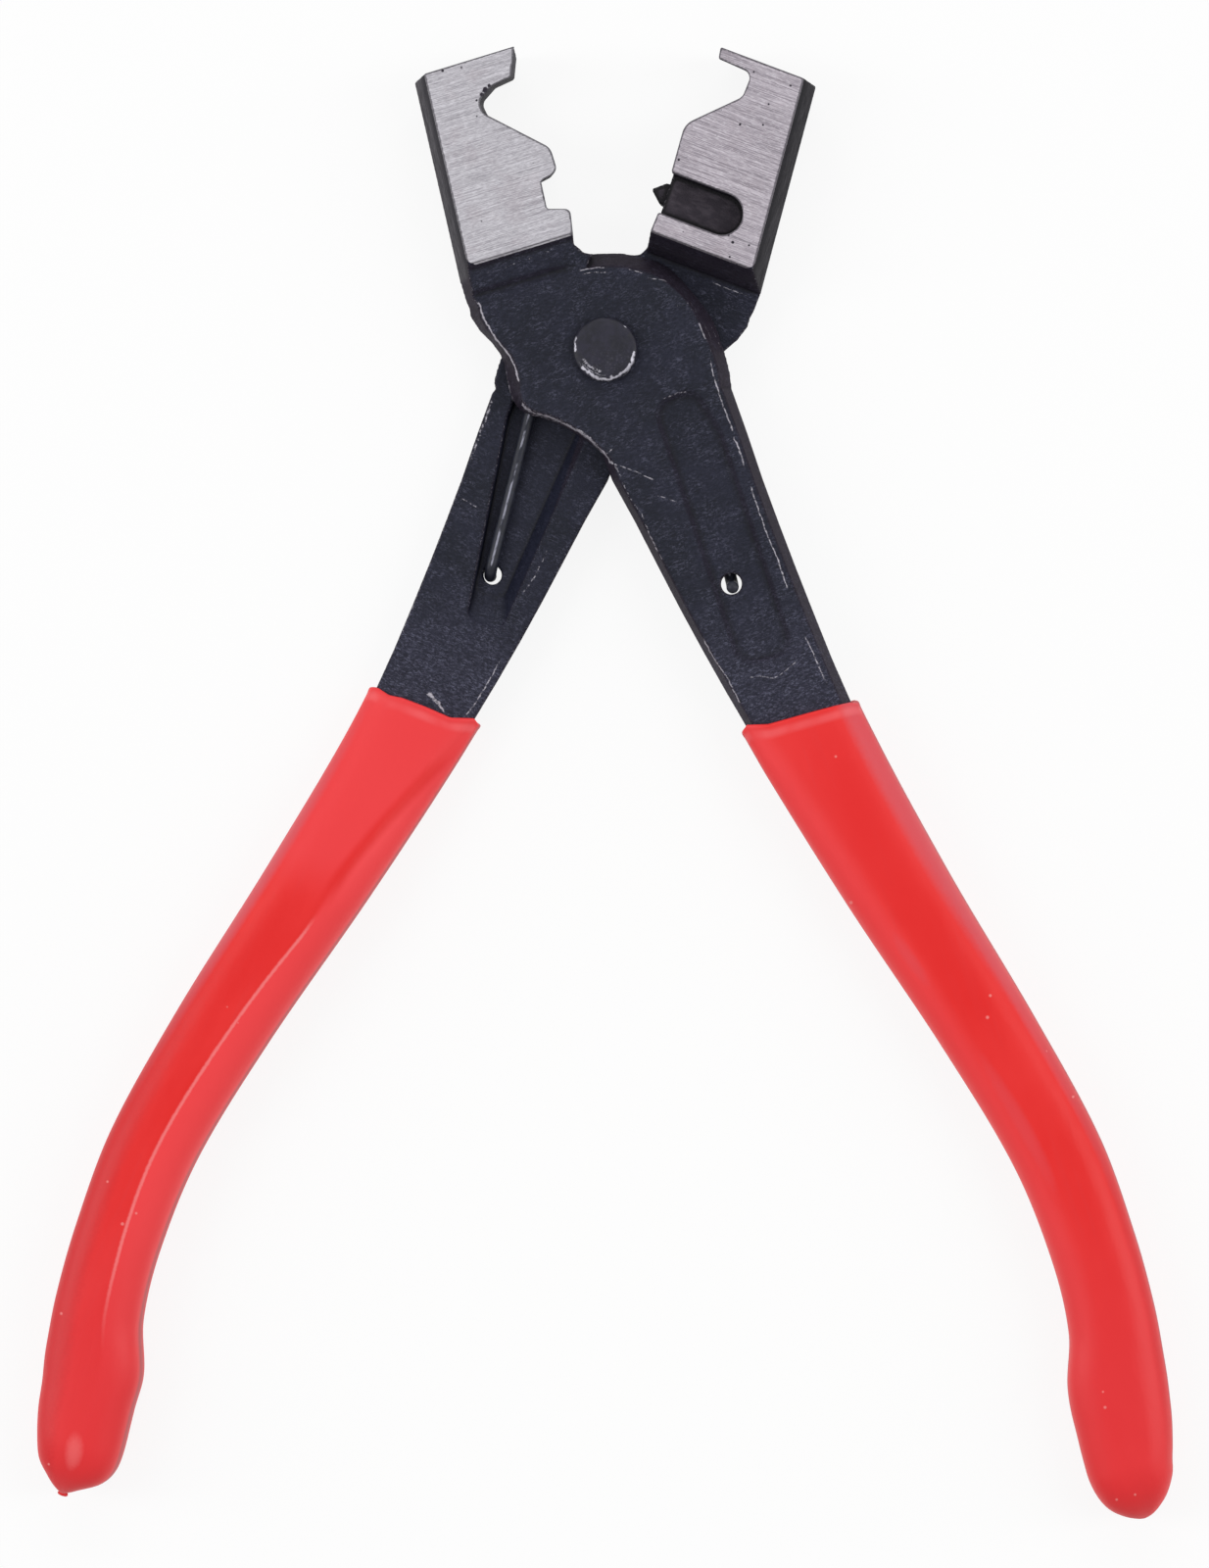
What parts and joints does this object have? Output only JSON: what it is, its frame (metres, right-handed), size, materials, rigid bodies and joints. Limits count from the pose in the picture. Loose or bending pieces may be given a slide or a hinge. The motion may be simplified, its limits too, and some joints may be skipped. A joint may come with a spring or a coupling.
{
  "type": "hose clamp pliers",
  "caption": "Lap-jointed forged pliers with hooked, notched jaws that close ear hose clamps, sprung open round the pivot, with dipped plastic grips.",
  "frame": {"origin": "on the pivot axis, in the plane on which the pliers lie: the rivet's back head, the jaws' back faces and the grips' backs", "axes": "+Z along the pivot axis out of the front face, +Y from the pivot to the jaws, +X to the right seen from the front"},
  "size_m": [0.1577, 0.2007, 0.012],
  "materials": {
    "forged_steel": "black oxide forged skin, ground bright on the jaw faces",
    "rivet_steel": "peened, dark, worn bright at the rim",
    "spring_wire": "dark drawn wire",
    "grip_plastic": "glossy dipped red vinyl"
  },
  "bodies": {
    "front_half": {"front_lever": "forged_steel", "pivot_rivet": "rivet_steel", "return_spring": "spring_wire", "front_grip": "grip_plastic"},
    "back_half": {"back_lever": "forged_steel", "back_grip": "grip_plastic"}
  },
  "joints": [
    {"name": "jaw_pivot", "type": "hinge", "parent": "front_half", "child": "back_half", "pos_m": [0, 0, 0.006], "axis": [0, 0, 1], "range_deg": [0, 35], "stiffness_Nm_per_rad": 0.5, "springref_deg": -17.19, "deforming": ["return_spring"]}
  ]
}
